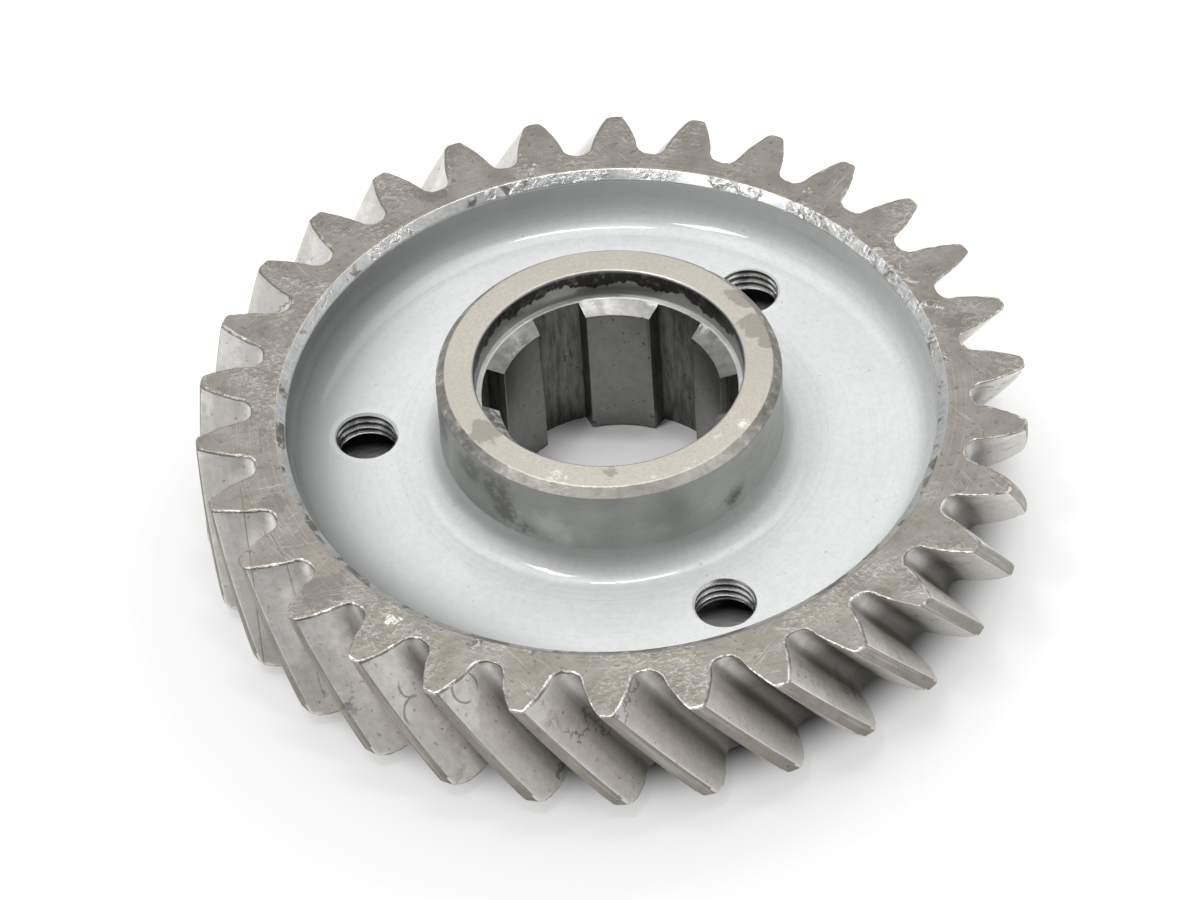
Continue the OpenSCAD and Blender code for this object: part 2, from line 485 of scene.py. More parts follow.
def mix(tree, share, a, b):
    made = add(tree, "Mix", data_type="RGBA")
    for socket, value in ((made.inputs["Factor"], share), (made.inputs[6], a), (made.inputs[7], b)):
        if isinstance(value, bpy.types.NodeSocket):
            tree.links.new(value, socket)
        elif isinstance(value, tuple):
            socket.default_value = (*value, 1)
        else:
            socket.default_value = value
    return made.outputs[2]


def calc(tree, operation, a, b=0.0):
    made = add(tree, "Math", operation=operation)
    for socket, value in zip(made.inputs, (a, b)):
        if isinstance(value, bpy.types.NodeSocket):
            tree.links.new(value, socket)
        else:
            socket.default_value = value
    return made.outputs[0]


def place(tree):
    return add(tree, "TexCoord").outputs["Object"]


def mask(tree, value, low, high):
    return add(tree, "MapRange", {"Value": value, "From Min": low, "From Max": high},
               interpolation_type="SMOOTHSTEP").outputs[0]


def over(tree, colour, share, strength, other):
    return mix(tree, calc(tree, "MULTIPLY", share, strength), colour, other)


def toward(tree, at, way):
    return add(tree, "VectorMath", {0: at, 1: way}, operation="DOT_PRODUCT").outputs["Value"]


def fromAxis(tree, at, centre=(0, 0, 0)):
    moved = add(tree, "VectorMath", {0: at, 1: centre}, operation="SUBTRACT").outputs[0]
    flat = add(tree, "VectorMath", {0: moved, 1: (1, 1, 0)}, operation="MULTIPLY").outputs[0]
    return add(tree, "VectorMath", {0: flat}, operation="LENGTH").outputs["Value"]


def fromHoles(tree, at):
    nearest = None
    for i in range(puller["count"]):
        centre = polar(puller["circleR"], puller["first"] + 360 / puller["count"] * i) * mm
        far = fromAxis(tree, at, tuple(centre))
        nearest = far if nearest is None else calc(tree, "MINIMUM", nearest, far)
    return nearest


def heightOf(tree, at):
    return add(tree, "SeparateXYZ", {"Vector": at}).outputs["Z"]


def turningMarks(tree, at, fineness, drift=0.0004):
    wander = calc(tree, "MULTIPLY", noiseOf(tree, at, 60, 2), drift)
    along = calc(tree, "ADD", fromAxis(tree, at), wander)
    return add(tree, "TexNoise", {"W": along, "Scale": fineness, "Detail": 3},
               noise_dimensions="1D").outputs[0]


def stretched(tree, at, scale):
    return add(tree, "VectorMath", {0: at, 1: scale}, operation="MULTIPLY").outputs[0]


def alongHelix(tree, at):
    # The teeth's twist is undone, so that streaks can run along them.
    twist = calc(tree, "MULTIPLY", heightOf(tree, at), math.radians(helixTurn) / (faceWidth * mm))
    straight = add(tree, "VectorRotate", {"Vector": at, "Angle": twist}, rotation_type="Z_AXIS")
    return stretched(tree, straight.outputs[0], (1, 1, 0.05))


def farFrom(tree, at, point):
    centre = tuple(c * mm for c in point)
    return add(tree, "VectorMath", {0: at, 1: centre}, operation="DISTANCE").outputs["Value"]


def strongest(tree, shares):
    most, *others = shares
    for share in others:
        most = calc(tree, "MAXIMUM", most, share)
    return most


def blobs(tree, at, places, ragged, soft=0.2):
    # Each place is a point in mm and how far its blob reaches.
    edge = calc(tree, "MULTIPLY", noiseOf(tree, at, 300, 6, 0.7), 6 * ragged * mm)
    shares = []
    for *point, reach in places:
        far = calc(tree, "ADD", farFrom(tree, at, point), edge)
        middle = reach + 3 * ragged
        shares.append(mask(tree, far, (middle + soft) * mm, (middle - soft) * mm))
    return strongest(tree, shares)


def specks(tree, at, size, share):
    return mask(tree, noiseOf(tree, at, size, 2, 0.5), share, share + 0.04)


def tideLine(tree, level, width):
    off = calc(tree, "ABSOLUTE", calc(tree, "SUBTRACT", level, 0.5))
    return mask(tree, off, width, width * 0.3)


def rings(tree, at, places, thick):
    # Each place is a point in mm and how far its ring lies from it.
    wander = 1.2
    edge = calc(tree, "MULTIPLY", noiseOf(tree, at, 260, 3), wander * mm)
    shares = []
    for *point, reach in places:
        far = calc(tree, "ADD", farFrom(tree, at, point), edge)
        off = calc(tree, "ABSOLUTE", calc(tree, "SUBTRACT", far, (reach + wander / 2) * mm))
        shares.append(mask(tree, off, thick * mm, thick * mm * 0.3))
    return strongest(tree, shares)


def hairline(tree, at, a, b, thick):
    # A straight scratch between two points in mm, as seen from above
    along = Vector((b[0] - a[0], b[1] - a[1], 0))
    across = Vector((along.y, -along.x, 0)).normalized()
    off = toward(tree, at, tuple(across))
    off = calc(tree, "ABSOLUTE", calc(tree, "SUBTRACT", off, across.dot(Vector((*a, 0))) * mm))
    middle = Vector((*a, 0)) + along / 2
    near = mask(tree, fromAxis(tree, at, tuple(middle * mm)), along.length / 2 * mm,
                (along.length / 2 - 1) * mm)
    return calc(tree, "MULTIPLY", mask(tree, off, thick * mm, thick * mm * 0.4), near)


def finish(tree, shader, colour, height=None, distance=0.0, roughness=None):
    tree.links.new(colour, shader.inputs["Base Color"])
    if height is not None:
        bump = add(tree, "Bump", {"Height": height, "Distance": distance, "Strength": 1.0})
        tree.links.new(bump.outputs[0], shader.inputs["Normal"])
    if roughness is not None:
        tree.links.new(roughness, shader.inputs["Roughness"])


taupe = {
    "deep": (0.155, 0.14, 0.118),
    "dark": (0.215, 0.196, 0.168),
    "light": (0.335, 0.316, 0.279),
    "bare": (0.72, 0.715, 0.70),
}

# Where the wear lies, and where shade and a reflection are painted, in mm. A blob is a point and how
# far it reaches.
wearAndPaintedLight = {
    "faceDark": [(-30.6, -30.7, 17.5, 2.6), (-24.4, 35, 17.5, 2.2), (-38, -17, 17.5, 1.6),
                 (33, -29, 17.5, 1.5), (40, 14, 17.5, 2)],
    "faceUnhammered": [(-36, -20, 17.5, 14)],
    "faceChips": [(-12.2, 39.7, 17.5, 0.5), (20.8, 35.7, 17.5, 0.3), (-40.1, -9.3, 17.5, 0.4),
                  (38.1, 13.5, 17.5, 0.2), (37.8, 17.2, 17.5, 0.1), (-21.8, -34.6, 17.5, 0.1)],
    "battered": [(20.4, 34.2), (23.4, 32.3), (26.9, 29.3), (29.9, 26.2), (32.4, 23.6),
                 (34.5, 20.6), (36.3, 17.2), (37.4, 13.6), (38.6, 8.3), (-12, -37.9),
                 (-9.6, -38.3), (-6.2, -38.9)],  # stains' middles, on the face and on the chamfer
    "longScratches": [((-42.1, -14.4), (-38.9, -29.2), 0.1), ((-39.1, -19.2), (-31.2, -34.8), 0.08)],
    "flankRings": [(-20, -40.8, 13.3, 1.5), (-13.6, -43.6, 16.3, 1.8), (-19.1, -42.3, 10.6, 1.9)],
    "mouthFolds": [(20.5, 33.4, 17.1, 1.5), (24.3, 30.6, 17.1, 2.2), (28.3, 26.8, 17.1, 2.4),
                   (31.7, 23.5, 17.1, 2.2), (34.6, 18.9, 17.1, 2.4), (37.2, 11.5, 17.1, 1.8),
                   (11, 38.2, 17.1, 1.3), (14.3, 36.7, 17.1, 1.6), (-26.9, 26.9, 17.1, 1.2),
                   (-29.5, 24.6, 17.1, 1.4), (-16, 36, 17.1, 1.8), (-13.6, 36.8, 17.1, 1.1)],
    "wallSmudges": [(-10.7, -17.1, 16.9, 2.0), (-12.1, -16.1, 19.1, 2.2), (-8.8, -18.2, 15.4, 1.4),
                    (-15.3, -13.2, 19.6, 2.0), (-19.3, -5.8, 19.4, 2.6), (15.5, -13, 16.2, 1.2)],
    "wallShade": [(-15, -13.5, 16.5, 5.5), (-19, -6, 18, 4.2)],
    "wallPale": [(-5.8, -19.3, 17.2, 1.8), (-4, -19.8, 15.5, 1.2)],
    "hubGrey": [(15.2, 12.1, 23.5, 1.7), (16.7, 7.2, 23.5, 1.9), (18.4, 4.4, 23.5, 1.0),
                (-13.5, -10.9, 23.5, 1.9), (-12.6, -12.2, 23.5, 0.9), (1.5, -17.2, 23.5, 0.7)],
    "hubScuffs": [(14.3, -12.6, 23.5, 0.2), (10.2, -16, 23.5, 0.3), (-4.4, -17.9, 23.5, 0.3),
                  (13.2, -10.9, 23.5, 0.1), (6.6, -17.6, 23.5, 0.1), (16.2, -9, 23.5, 0.1)],
}


def taupeBase(tree, at):
    patches = noiseOf(tree, at, 230, 7, 0.68)
    return ramp(tree, patches, [(0.30, taupe["dark"]), (0.68, taupe["light"])])


def battering(tree, at, z):
    return blobs(tree, at, [(x, y, z, 0.5) for x, y in wearAndPaintedLight["battered"]], 1.2, 0.8)


def longScratches(tree, at):
    # They run over the face and down the flanks.
    return strongest(tree, [hairline(tree, at, *ends) for ends in wearAndPaintedLight["longScratches"]])


def scratches(tree, at, angle, patch):
    # Thin broken lines along one direction of the face
    turned = add(tree, "VectorRotate", {"Vector": at, "Angle": angle}, rotation_type="Z_AXIS")
    turned = turned.outputs[0]
    level = noiseOf(tree, stretched(tree, turned, (1, 0.045, 1)), 1500, 2, 0.4)
    patches = noiseOf(tree, stretched(tree, turned, (1, 0.5, 1)), patch, 3)
    return calc(tree, "MULTIPLY", tideLine(tree, level, 0.012), mask(tree, patches, 0.54, 0.64))


def endFaceSteel(name):
    material, tree, shader = start(name, 0.95, 0.42)
    at = place(tree)
    colour = taupeBase(tree, at)
    turned = calc(tree, "MULTIPLY", mask(tree, turningMarks(tree, at, 9000), 0.5, 0.75),
                  mask(tree, noiseOf(tree, at, 120, 4), 0.42, 0.62))
    colour = over(tree, colour, turned, 0.25, taupe["bare"])
    colour = over(tree, colour, blobs(tree, at, wearAndPaintedLight["faceDark"], 1.2), 0.4, taupe["deep"])
    # Hammered places where the surface glints
    knocked = mask(tree, noiseOf(tree, at, 66, 3), 0.45, 0.6)
    spared = blobs(tree, at, wearAndPaintedLight["faceUnhammered"], 1.0, 5)
    knocked = calc(tree, "MULTIPLY", knocked, calc(tree, "SUBTRACT", 1, spared))
    crumbs = noiseOf(tree, at, 1500, 4, 0.6, 0.2)
    glints = calc(tree, "MULTIPLY", mask(tree, crumbs, 0.5, 0.64), knocked)
    colour = over(tree, colour, glints, 0.42, (0.64, 0.625, 0.59))
    for angle, patch in ((-0.75, 130), (0.5, 100), (1.3, 150)):
        colour = over(tree, colour, scratches(tree, at, angle, patch), 0.28, taupe["bare"])
    colour = over(tree, colour, longScratches(tree, at), 0.6, taupe["deep"])
    colour = over(tree, colour, specks(tree, at, 1500, 0.645), 0.65, taupe["deep"])
    chips = blobs(tree, at, wearAndPaintedLight["faceChips"], 1.5)
    chips = calc(tree, "MULTIPLY", chips, mask(tree, crumbs, 0.42, 0.5))
    colour = over(tree, colour, chips, 0.75, (0.80, 0.80, 0.785))
    # Along the recess it is battered at the right and at the front.
    battered = battering(tree, at, 17.5)
    folds = noiseOf(tree, at, 760, 2, 0.4, 1.6)
    creases = calc(tree, "MULTIPLY", battered, mask(tree, folds, 0.46, 0.4))
    ridges = calc(tree, "MULTIPLY", battered, mask(tree, folds, 0.54, 0.6))
    colour = over(tree, colour, creases, 0.65, taupe["deep"])
    colour = over(tree, colour, ridges, 0.6, taupe["bare"])
    dents = calc(tree, "MULTIPLY", crumbs, calc(tree, "ADD", knocked, 0.3))
    dents = calc(tree, "ADD", dents, calc(tree, "MULTIPLY", battered, folds))
    finish(tree, shader, colour, dents, 0.0001)
    return material


def landSteel(name):
    material, tree, shader = start(name, 0.95, 0.42)
    at = place(tree)
    colour = taupeBase(tree, at)
    streaks = mask(tree, noiseOf(tree, alongHelix(tree, at), 1500, 3), 0.5, 0.7)
    colour = over(tree, colour, streaks, 0.3, taupe["bare"])
    colour = over(tree, colour, specks(tree, at, 1100, 0.68), 0.6, taupe["deep"])
    finish(tree, shader, colour, noiseOf(tree, at, 1000, 3), 0.00005)
    return material


def flankSteel(name):
    material, tree, shader = start(name, 0.92, 0.4)
    at = place(tree)
    swept = alongHelix(tree, at)
    streaks = noiseOf(tree, swept, 900, 4, 0.6)
    colour = ramp(tree, streaks, [(0.3, (0.82, 0.80, 0.765)), (0.7, (0.94, 0.925, 0.90))])
    # An oily film lies in patches, with a brown line here and there where it dried.
    lowness = calc(tree, "MULTIPLY", calc(tree, "SUBTRACT", 0.0105, heightOf(tree, at)), 9)
    film = calc(tree, "ADD", noiseOf(tree, at, 62, 6, 0.62), lowness)
    colour = over(tree, colour, mask(tree, film, 0.44, 0.475), 0.3, (0.46, 0.432, 0.385))
    mottled = mask(tree, noiseOf(tree, at, 1000, 4, 0.75), 0.42, 0.6)
    colour = over(tree, colour, mottled, 0.18, (0.40, 0.375, 0.335))
    here = mask(tree, noiseOf(tree, at, 75, 2), 0.52, 0.62)
    line = calc(tree, "MULTIPLY", tideLine(tree, film, 0.012), here)
    colour = over(tree, colour, line, 0.6, taupe["deep"])
    broken = mask(tree, noiseOf(tree, at, 190, 2), 0.40, 0.48)
    dried = calc(tree, "MULTIPLY", rings(tree, at, wearAndPaintedLight["flankRings"], 0.2), broken)
    colour = over(tree, colour, dried, 0.7, taupe["dark"])
    colour = over(tree, colour, longScratches(tree, at), 0.6, taupe["dark"])
    # Painted shade fills the roots. It thins out towards the left and near the upper face.
    uneven = calc(tree, "MULTIPLY", noiseOf(tree, swept, 260, 3), 0.0022)
    depth = calc(tree, "ADD", fromAxis(tree, at), uneven)
    left = toward(tree, at, (-1, 0.25, 0))
    rootShade = calc(tree, "MULTIPLY", mask(tree, depth, 0.0459, 0.0430), mask(tree, left, 0.036, 0.012))
    rise = calc(tree, "SUBTRACT", heightOf(tree, at), calc(tree, "MULTIPLY", left, 0.05))
    thinned = calc(tree, "MULTIPLY", mask(tree, rise, 0.0122, 0.0172), 0.55)
    rootShade = calc(tree, "MULTIPLY", rootShade, calc(tree, "SUBTRACT", 1, thinned))
    colour = over(tree, colour, rootShade, 0.94, (0.088, 0.080, 0.069))
    colour = over(tree, colour, specks(tree, at, 1400, 0.67), 0.5, taupe["dark"])
    finish(tree, shader, colour, calc(tree, "ADD", streaks, noiseOf(tree, at, 700, 3)), 0.00004)
    return material


def edgeSteel(name):
    material, tree, shader = start(name, 1.0, 0.42)
    at = place(tree)
    # They are worn bright in broken lines, and a painted highlight makes them brightest at the front
    # right.
    side = toward(tree, at, (0.7, -0.9, 0))
    worn = mask(tree, calc(tree, "ADD", noiseOf(tree, at, 420, 5, 0.75), side), 0.48, 0.66)
    colour = mix(tree, worn, (0.30, 0.282, 0.25), (0.72, 0.70, 0.655))
    finish(tree, shader, colour, noiseOf(tree, at, 1500, 2), 0.00014)
    return material


def mouthSteel(name):
    material, tree, shader = start(name, 0.95, 0.36)
    at = place(tree)
    torn = noiseOf(tree, at, 1100, 4, 0.6, 1.0)
    bare = ramp(tree, torn, [(0.3, (0.50, 0.515, 0.51)), (0.62, (0.68, 0.695, 0.69))])
    # The front of the ring is browned in flakes, the back has kept its machined grey.
    side = toward(tree, at, (-0.6, -2.4, 0))
    dull = mask(tree, calc(tree, "ADD", noiseOf(tree, at, 260, 5, 0.6), side), 0.575, 0.61)
    flakes = mask(tree, noiseOf(tree, at, 500, 4), 0.42, 0.58)
    brown = mix(tree, flakes, taupe["deep"], taupe["light"])
    colour = over(tree, bare, dull, 0.85, brown)
    colour = over(tree, colour, battering(tree, at, 17.1), 0.6, taupe["light"])
    folded = blobs(tree, at, wearAndPaintedLight["mouthFolds"], 0.8, 0.5)
    folds = noiseOf(tree, at, 620, 2, 0.4, 1.6)
    creases = calc(tree, "MULTIPLY", folded, mask(tree, folds, 0.46, 0.36))
    ridges = calc(tree, "MULTIPLY", folded, mask(tree, folds, 0.54, 0.62))
    colour = over(tree, colour, creases, 0.7, taupe["deep"])
    colour = over(tree, colour, ridges, 0.6, taupe["bare"])
    colour = over(tree, colour, specks(tree, at, 900, 0.66), 0.7, taupe["bare"])
    # A fine cream line runs along both of its edges.
    radius = fromAxis(tree, at)
    inner, outer = wheel["recessR"] * mm, (wheel["recessR"] + wheel["mouth"][0]) * mm
    lines = calc(tree, "MAXIMUM", mask(tree, radius, inner + 0.00016, inner + 0.00008),
                 mask(tree, radius, outer - 0.0002, outer - 0.0001))
    colour = over(tree, colour, lines, 0.75, (0.62, 0.60, 0.55))
    crumpled = calc(tree, "MULTIPLY", torn, mask(tree, noiseOf(tree, at, 70, 2), 0.42, 0.58))
    crumpled = calc(tree, "MULTIPLY", crumpled, 0.6)
    crumpled = calc(tree, "ADD", crumpled, calc(tree, "MULTIPLY", folded, folds))
    finish(tree, shader, colour, crumpled, 0.00025)
    return material


# Distances in metres from the wheel's axis or, for the rings, from a hole's
recessZones = {
    "side": (-0.94, -0.34, 0),         # the painted shade reaches furthest on this side
    "sideFade": (0.010, 0.028),
    "wideShade": (0.0265, 0.0388),
    "wallCentre": (0.0017, 0.0012, 0),
    "wall": (0.0340, 0.0402),
    "hubFoot": (0.0222, 0.0204),
    "ringOutside": (0.0049, 0.0046),
    "ringInside": (0.0040, 0.0042),
}


def recessSteel(name):
    material, tree, shader = start(name, 0.12, 0.55)
    shader.inputs["Coat Weight"].default_value = 1.0
    shader.inputs["Coat Roughness"].default_value = 0.06
    at = place(tree)
    marks = turningMarks(tree, at, 1600, 0.0002)
    cloud = noiseOf(tree, at, 70, 4)
    smooth = ramp(tree, cloud, [(0.3, (0.72, 0.735, 0.732)), (0.7, (0.78, 0.795, 0.79))])
    colour = over(tree, smooth, mask(tree, marks, 0.5, 0.72), 0.3, (0.82, 0.835, 0.83))
    fineMarks = mask(tree, turningMarks(tree, at, 5200, 0.0002), 0.42, 0.25)
    colour = over(tree, colour, fineMarks, 0.3, (0.5, 0.53, 0.53))
    # Painted shade darkens the wall under the chamfer, and at the left it reaches far down the
    # fillet.
    uneven = calc(tree, "MULTIPLY", cloud, 0.0014)
    radius = calc(tree, "ADD", fromAxis(tree, at), uneven)
    left = mask(tree, toward(tree, at, recessZones["side"]), *recessZones["sideFade"])
    wideShade = calc(tree, "MULTIPLY", mask(tree, radius, *recessZones["wideShade"]), left)
    colour = over(tree, colour, wideShade, 0.72, (0.115, 0.13, 0.125))
    radius = calc(tree, "ADD", fromAxis(tree, at, recessZones["wallCentre"]), uneven)
    wall = mask(tree, radius, *recessZones["wall"])
    colour = over(tree, colour, wall, 0.82, (0.14, 0.152, 0.142))
    # The hub's grey runs down into its fillet.
    radius = calc(tree, "ADD", fromAxis(tree, at), calc(tree, "MULTIPLY", cloud, 0.0008))
    foot = mask(tree, radius, *recessZones["hubFoot"])
    colour = over(tree, colour, foot, 0.8, (0.29, 0.30, 0.288))
    # Each hole has a faintly burnished ring.
    hole = calc(tree, "ADD", fromHoles(tree, at), calc(tree, "MULTIPLY", cloud, 0.0006))
    ring = calc(tree, "MULTIPLY", mask(tree, hole, *recessZones["ringOutside"]),
                mask(tree, hole, *recessZones["ringInside"]))
    colour = over(tree, colour, ring, 0.18, (0.84, 0.85, 0.845))
    mottled = mask(tree, noiseOf(tree, at, 1500, 3, 0.65), 0.6, 0.36)
    colour = over(tree, colour, mottled, 0.10, (0.30, 0.31, 0.30))
    colour = over(tree, colour, specks(tree, at, 1300, 0.72), 0.35, (0.2, 0.2, 0.19))
    rough = mix(tree, mask(tree, noiseOf(tree, at, 240, 3), 0.3, 0.7), (0.45,) * 3, (0.55,) * 3)
    finish(tree, shader, colour, marks, 0.000008, rough)
    return material


def hubWallSteel(name):
    material, tree, shader = start(name, 0.6, 0.42)
    at = place(tree)
    cloud = noiseOf(tree, stretched(tree, at, (1, 1, 1.6)), 150, 6, 0.65)
    colour = ramp(tree, cloud, [(0.3, (0.315, 0.325, 0.31)), (0.7, (0.455, 0.465, 0.445))])
    smudged = blobs(tree, at, wearAndPaintedLight["wallSmudges"], 1.0, 1.1)
    grain = mask(tree, noiseOf(tree, at, 520, 5, 0.7), 0.32, 0.55)
    colour = over(tree, colour, calc(tree, "MULTIPLY", smudged, grain), 0.8, (0.08, 0.079, 0.069))
    # Painted shade darkens the left of the wall.
    shaded = blobs(tree, at, wearAndPaintedLight["wallShade"], 1.0, 2.6)
    colour = over(tree, colour, shaded, 0.5, (0.15, 0.155, 0.142))
    # A painted reflection of the web lightens the front of the wall near its foot.
    webReflection = blobs(tree, at, wearAndPaintedLight["wallPale"], 1.0, 1.2)
    colour = over(tree, colour, webReflection, 0.45, (0.66, 0.67, 0.66))
    # The chamfer at the top is knocked and browned, and rubbed bright at the front.
    knocked = noiseOf(tree, at, 620, 5, 0.7)
    browned = ramp(tree, knocked, [(0.36, (0.19, 0.18, 0.16)), (0.56, (0.32, 0.31, 0.285)),
                                   (0.7, taupe["bare"])])
    polished = ramp(tree, knocked, [(0.3, (0.50, 0.475, 0.43)), (0.6, (0.72, 0.69, 0.64))])
    front = toward(tree, at, (0.18, -1, 0))
    browned = mix(tree, mask(tree, front, 0.0095, 0.0185), browned, polished)
    top = mask(tree, heightOf(tree, at), 0.02238, 0.02252)
    colour = mix(tree, top, colour, browned)
    colour = over(tree, colour, specks(tree, at, 1500, 0.7), 0.35, (0.7, 0.7, 0.68))
    finish(tree, shader, colour, calc(tree, "MULTIPLY", knocked, top), 0.00018)
    return material


def hubFaceSteel(name):
    material, tree, shader = start(name, 0.9, 0.5)
    at = place(tree)
    speckle = noiseOf(tree, at, 2600, 3, 0.7)
    colour = ramp(tree, speckle, [(0.3, (0.445, 0.415, 0.36)), (0.62, (0.54, 0.51, 0.45))])
    clouded = mask(tree, noiseOf(tree, at, 110, 4), 0.45, 0.62)
    colour = over(tree, colour, clouded, 0.25, (0.42, 0.395, 0.35))
    colour = over(tree, colour, blobs(tree, at, wearAndPaintedLight["hubGrey"], 0.9), 0.7, (0.27, 0.25, 0.215))
    scuffs = blobs(tree, at, wearAndPaintedLight["hubScuffs"], 1.3, 0.5)
    broken = mask(tree, noiseOf(tree, at, 1100, 4, 0.7), 0.42, 0.58)
    colour = over(tree, colour, calc(tree, "MULTIPLY", scuffs, broken), 0.8, (0.86, 0.855, 0.83))
    finish(tree, shader, colour, speckle, 0.00003)
    return material


def counterboreSteel(name):
    material, tree, shader = start(name, 0.9, 0.38)
    at = place(tree)
    cloud = noiseOf(tree, at, 180, 5, 0.6)
    colour = ramp(tree, cloud, [(0.3, (0.42, 0.425, 0.408)), (0.7, (0.56, 0.565, 0.542))])
    # Dark scalloped stains hang from the mouth.
    hang = noiseOf(tree, stretched(tree, at, (1, 1, 0.2)), 300, 4, 0.6)
    lowest = calc(tree, "ADD", heightOf(tree, at), calc(tree, "MULTIPLY", hang, 0.0062))
    stained = calc(tree, "MULTIPLY", mask(tree, lowest, 0.0243, 0.0246),
                   mask(tree, heightOf(tree, at), 0.0233, 0.02305))
    blotchy = mask(tree, noiseOf(tree, at, 700, 4, 0.7), 0.36, 0.5)
    colour = over(tree, colour, stained, 0.75, (0.06, 0.052, 0.043))
    colour = over(tree, colour, calc(tree, "MULTIPLY", stained, blotchy), 0.75, (0.018, 0.015, 0.012))
    colour = over(tree, colour, specks(tree, at, 900, 0.68), 0.5, (0.5, 0.49, 0.46))
    finish(tree, shader, colour, noiseOf(tree, at, 800, 3), 0.00006)
    return material


def splineSteel(name):
    material, tree, shader = start(name, 0.95, 0.38)
    at = place(tree)
    radius = fromAxis(tree, at)
    drawn = noiseOf(tree, stretched(tree, at, (1, 1, 0.16)), 1500, 5, 0.75)
    grain = noiseOf(tree, at, 900, 5, 0.7)
    land = ramp(tree, grain, [(0.3, (0.195, 0.194, 0.185)), (0.7, (0.255, 0.253, 0.241))])
    # The groove floors are painted darker as shade in the grooves, with drawn broaching streaks.
    floor = ramp(tree, drawn, [(0.36, (0.08, 0.08, 0.075)), (0.6, (0.19, 0.19, 0.181))])
    colour = mix(tree, mask(tree, radius, 0.0134, 0.0138), land, floor)
    colour = over(tree, colour, specks(tree, at, 1300, 0.68), 0.7, (0.03, 0.03, 0.027))
    finish(tree, shader, colour, drawn, 0.00003)
    return material


def leadInSteel(name):
    material, tree, shader = start(name, 0.95, 0.36)
    at = place(tree)
    torn = noiseOf(tree, at, 800, 4, 0.6, 0.5)
    crumpled = mask(tree, noiseOf(tree, at, 75, 2), 0.44, 0.56)
    plain = ramp(tree, torn, [(0.36, (0.165, 0.163, 0.157)), (0.6, (0.225, 0.222, 0.213))])
    glints = calc(tree, "MULTIPLY", crumpled, mask(tree, torn, 0.4, 0.6))
    colour = over(tree, plain, glints, 0.7, (0.55, 0.545, 0.53))
    finish(tree, shader, colour, calc(tree, "MULTIPLY", torn, crumpled), 0.00018)
    return material


def threadSteel(name):
    material, tree, shader = start(name, 1.0, 0.18)
    at = place(tree)
    deep = fromHoles(tree, at)
    crest, root = puller["minorR"] * mm, puller["majorR"] * mm
    low, high = (z * mm for z in wheel["webZ"])
    z = heightOf(tree, at)
    # Painted shade fills the thread's roots, away from the hole's two mouths.
    inside = calc(tree, "MULTIPLY", mask(tree, z, low, low + 0.0004),
                  mask(tree, z, high, high - 0.0004))
    rootShade = calc(tree, "MULTIPLY", inside, mask(tree, deep, crest + 0.00008, root - 0.00012))
    cloud = noiseOf(tree, at, 700, 3)
    colour = ramp(tree, cloud, [(0.35, (0.70, 0.70, 0.69)), (0.6, (0.92, 0.92, 0.91))])
    colour = over(tree, colour, rootShade, 0.93, (0.02, 0.02, 0.019))
    finish(tree, shader, colour)
    return material


finishes = {
    "endFace": endFaceSteel,
    "land": landSteel,
    "flank": flankSteel,
    "edge": edgeSteel,
    "mouth": mouthSteel,
    "recess": recessSteel,
    "hubWall": hubWallSteel,
    "hubFace": hubFaceSteel,
    "counterbore": counterboreSteel,
    "spline": splineSteel,
    "leadIn": leadInSteel,
    "thread": threadSteel,
}

for slotName in slots:
    gearWheel.data.materials.append(finishes[slotName](slotName))
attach(gearWheel, "root")
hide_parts("gear_wheel")
print("materials made")


# Floor, world, lamps and camera

studio = {
    "level": 0.80,             # how bright the tent is overhead
    "horizon": 0.55,
    "horizonTop": 0.6,         # where it reaches that level, as the sine of the elevation
    "gap": (6.8, 48),          # the tent is open towards the camera: azimuth and elevation
    "gapReach": (48, 12),      # degrees from its middle at which the gap starts and is full
    "gapLevel": 0.12,
    "paper": 0.86,
    "clearFrom": (0.040, 0.048),    # metres from the axis where the whitened paper begins
    "riseCentre": (-0.006, -0.012, 0),
    "riseReach": (0.048, 0.064),    # metres from that centre over which the paper whitens, leaving a painted shadow nearer in
    "riseLevel": (0.53, 0.66),
    "floorShade": 0.42,        # how much of the shadow the white paper shows
    "bore": (0.017, 0.021),    # metres from the axis where the floor seen in the bore ends
    # the floor seen in the bore is painted brighter
    "floorInBore": 1.05,
    "holeLight": (0.0094, 0.0054),  # metres from a hole's axis where a pool of light is painted under it
    "floorLit": 4.4,
    "floorUnder": 0.05,        # painted shadow under the web, away from its holes
}

lamps = {  # azimuth, elevation, distance, size, radiance
    "topBox": (187, 72, 0.9, (0.9, 0.7), 1.0),
    "backStrip": (170, 82, 0.6, (0.16, 0.05), 22),
    "sideStrip": (300, 68, 0.31, (0.045, 0.075), 17),
}


def outward(azimuth, elevation):
    # Azimuth 0 is the front, 90 the right.
    a, e = math.radians(azimuth), math.radians(elevation)
    return Vector((math.sin(a) * math.cos(e), -math.cos(a) * math.cos(e), math.sin(e)))


def grey(level):
    return (level,) * 3


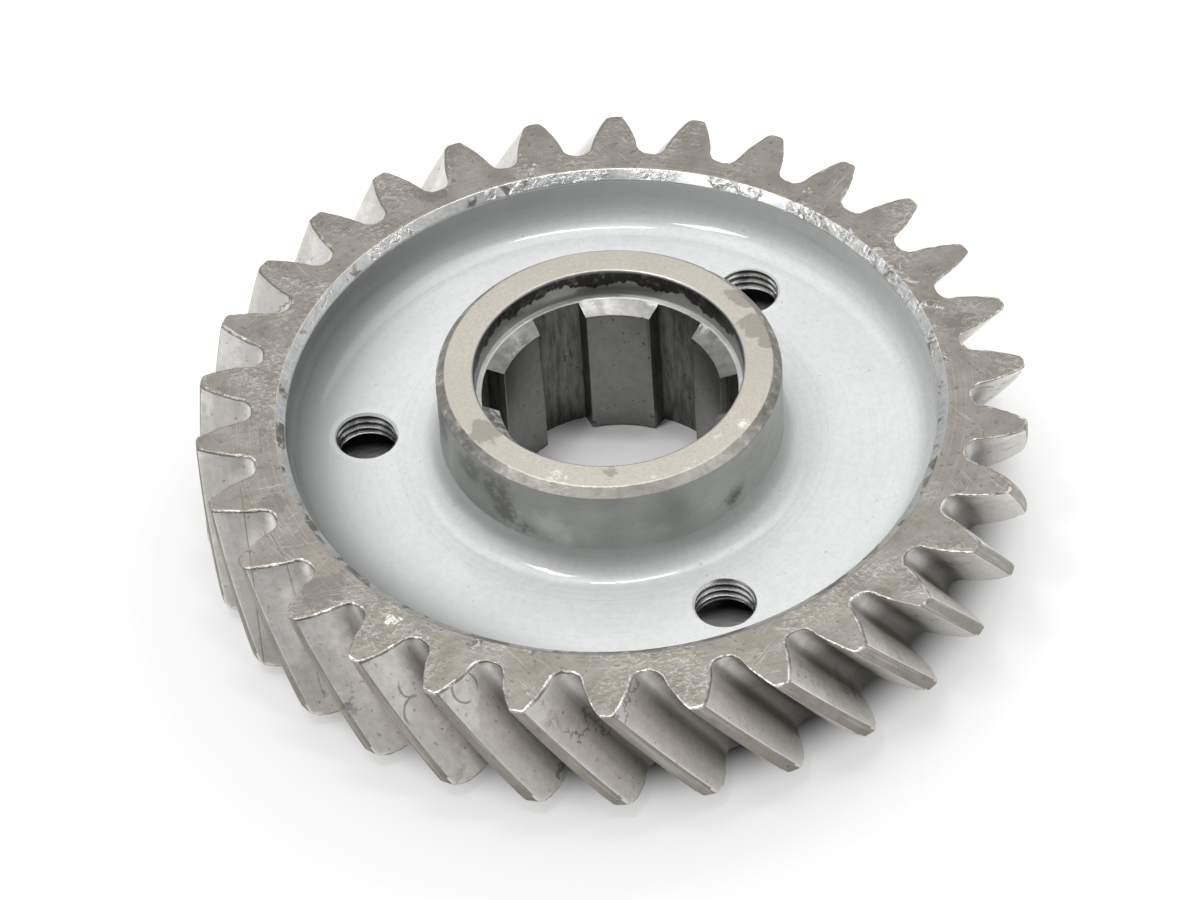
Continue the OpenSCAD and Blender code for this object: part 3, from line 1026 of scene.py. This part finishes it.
def paperFloor():
    bm = bmesh.new()
    bmesh.ops.create_grid(bm, x_segments=1, y_segments=1, size=4)
    floor = objectFrom(bm, "floor")
    material = bpy.data.materials.new("paperFloor")
    material.use_nodes = True
    tree = material.node_tree
    tree.nodes.remove(tree.nodes["Principled BSDF"])
    rays = add(tree, "LightPath")
    seen = calc(tree, "MAXIMUM", rays.outputs["Is Camera Ray"], rays.outputs["Is Glossy Ray"])
    seen = calc(tree, "MAXIMUM", seen, rays.outputs["Is Transmission Ray"])
    # Round the wheel the seen paper is whitened. Under the wheel a painted shadow darkens it, with
    # painted pools of light under the holes, and the floor seen in the bore is painted brighter.
    at = place(tree)
    away = fromAxis(tree, at)
    beyond = mask(tree, away, *studio["clearFrom"])
    lit = mask(tree, fromHoles(tree, at), *studio["holeLight"])
    under = mix(tree, lit, grey(studio["floorUnder"]), grey(studio["floorLit"]))
    under = mix(tree, mask(tree, away, *studio["bore"]), grey(studio["floorInBore"]), under)
    seenPaper = mix(tree, beyond, under, grey(studio["floorShade"]))
    paper = mix(tree, seen, grey(studio["paper"]), seenPaper)
    matte = add(tree, "BsdfDiffuse", {"Color": paper}).outputs[0]
    # The whitening rises away from a centre off to the front left, which paints a soft shadow round
    # the wheel.
    near, far = studio["riseReach"]
    dim, bright = studio["riseLevel"]
    rise = add(tree, "MapRange", {"Value": fromAxis(tree, at, studio["riseCentre"]),
                                  "From Min": near, "From Max": far,
                                  "To Min": dim, "To Max": bright})
    white = calc(tree, "MULTIPLY", calc(tree, "MULTIPLY", seen, beyond), rise.outputs[0])
    glow = add(tree, "Emission", {"Strength": white}).outputs[0]
    both = add(tree, "AddShader", {0: matte, 1: glow}).outputs[0]
    tree.links.new(both, tree.nodes["Material Output"].inputs["Surface"])
    floor.data.materials.append(material)


def tentWorld():
    world = bpy.data.worlds.new("tent")
    bpy.context.scene.world = world
    world.use_nodes = True
    tree = world.node_tree
    back = tree.nodes["Background"]
    back.inputs["Color"].default_value = (1, 1, 1, 1)
    away = add(tree, "TexCoord").outputs["Generated"]
    near = toward(tree, away, tuple(outward(*studio["gap"])))
    start, full = (math.cos(math.radians(x)) for x in studio["gapReach"])
    sky = add(tree, "MapRange", {"Value": heightOf(tree, away),
                                 "From Min": 0.0, "From Max": studio["horizonTop"],
                                 "To Min": studio["horizon"], "To Max": studio["level"]},
              interpolation_type="SMOOTHSTEP").outputs[0]
    level = add(tree, "MapRange", {"Value": near, "From Min": start, "From Max": full,
                                   "To Min": sky, "To Max": studio["gapLevel"]},
                interpolation_type="SMOOTHSTEP")
    tree.links.new(level.outputs[0], back.inputs["Strength"])


def softbox(name, azimuth, elevation, distance, size, radiance):
    data = bpy.data.lights.new(name, "AREA")
    data.shape = "RECTANGLE"
    data.size, data.size_y = size
    data.energy = radiance * math.pi * size[0] * size[1]
    lamp = bpy.data.objects.new(name, data)
    bpy.context.scene.collection.objects.link(lamp)
    away = outward(azimuth, elevation)
    lamp.location = away * distance + Vector((0, 0, 0.015))
    lamp.rotation_mode = "QUATERNION"
    lamp.rotation_quaternion = away.to_track_quat("Z", "Y")


paperFloor()
tentWorld()
for lampName, setting in lamps.items():
    softbox(lampName, *setting)

shot = {  # millimetres and degrees
    "target": (-0.70, -7.73, 17.5),
    "distance": 713.9,
    "azimuth": 6.8,
    "elevation": 46.4,
    "roll": -3.77,
    "lens": 184.5,
}


def photoCamera():
    data = bpy.data.cameras.new("photoCamera")
    data.sensor_width = 36
    data.lens = shot["lens"]
    camera = bpy.data.objects.new("photoCamera", data)
    bpy.context.scene.collection.objects.link(camera)
    back = outward(shot["azimuth"], shot["elevation"])
    camera.location = (Vector(shot["target"]) + back * shot["distance"]) * mm
    camera.rotation_mode = "QUATERNION"
    camera.rotation_quaternion = ((-back).to_track_quat("-Z", "Y")
                                  @ Quaternion((0, 0, 1), math.radians(shot["roll"])))
    bpy.context.scene.camera = camera


photoCamera()
bpy.context.scene.view_settings.view_transform = "Standard"

print("scene ready")
